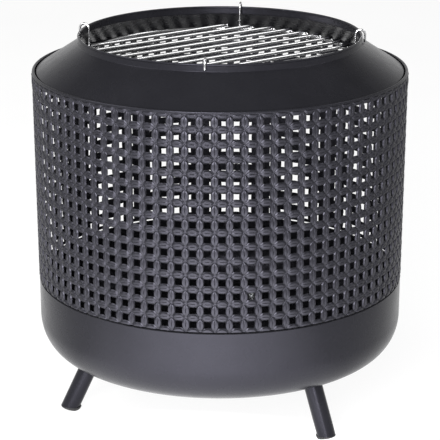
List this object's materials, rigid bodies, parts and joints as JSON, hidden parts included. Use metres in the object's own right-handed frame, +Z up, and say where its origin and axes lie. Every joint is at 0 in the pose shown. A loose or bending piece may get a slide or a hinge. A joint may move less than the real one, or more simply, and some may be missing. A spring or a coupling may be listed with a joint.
{
  "type": "fire pit with hanging grate",
  "caption": "Perforated drum fire pit on leaning tube legs, with a pressed bowl, a conical top and a wire grate that hangs in the mouth and lifts out.",
  "frame": {"origin": "centre of the feet's floor plane, on the drum's axis", "axes": "+Z up along the drum's axis; leg 1 leans out towards +Y, legs 2 and 3 at 210.5 and 329.1 degrees from +X"},
  "size_m": [0.4455, 0.4456, 0.4685],
  "materials": {
    "black_powder_coat": "satin black heat-resistant powder coat on steel sheet",
    "black_plastic": "matt black moulded plastic",
    "zinc_steel": "zinc-plated steel fasteners",
    "chrome_wire": "bright chromed welded wire"
  },
  "bodies": {
    "fire_pit": {"fire_bowl": "black_powder_coat", "mesh_drum": "black_powder_coat", "top_cone": "black_powder_coat", "leg_tube_1": "black_powder_coat", "foot_cap_1": "black_plastic", "leg_plug_1": "zinc_steel", "leg_washer_1": "zinc_steel", "leg_bolt_1": "zinc_steel", "leg_tube_2": "black_powder_coat", "foot_cap_2": "black_plastic", "leg_plug_2": "zinc_steel", "leg_washer_2": "zinc_steel", "leg_bolt_2": "zinc_steel", "leg_tube_3": "black_powder_coat", "foot_cap_3": "black_plastic", "leg_plug_3": "zinc_steel", "leg_washer_3": "zinc_steel", "leg_bolt_3": "zinc_steel"},
    "grate": {"grate_ring": "chrome_wire", "grate_bar_01": "chrome_wire", "grate_bar_02": "chrome_wire", "grate_bar_03": "chrome_wire", "grate_bar_04": "chrome_wire", "grate_bar_05": "chrome_wire", "grate_bar_06": "chrome_wire", "grate_bar_07": "chrome_wire", "grate_bar_08": "chrome_wire", "grate_bar_09": "chrome_wire", "grate_bar_10": "chrome_wire", "grate_bar_11": "chrome_wire", "grate_hook_1": "chrome_wire", "grate_hook_2": "chrome_wire", "grate_hook_3": "chrome_wire", "grate_hook_4": "chrome_wire"}
  },
  "joints": [
    {"name": "grate_lift", "type": "slide", "parent": "fire_pit", "child": "grate", "axis": [0, 0, 1], "range_m": [0, 0.15]}
  ]
}
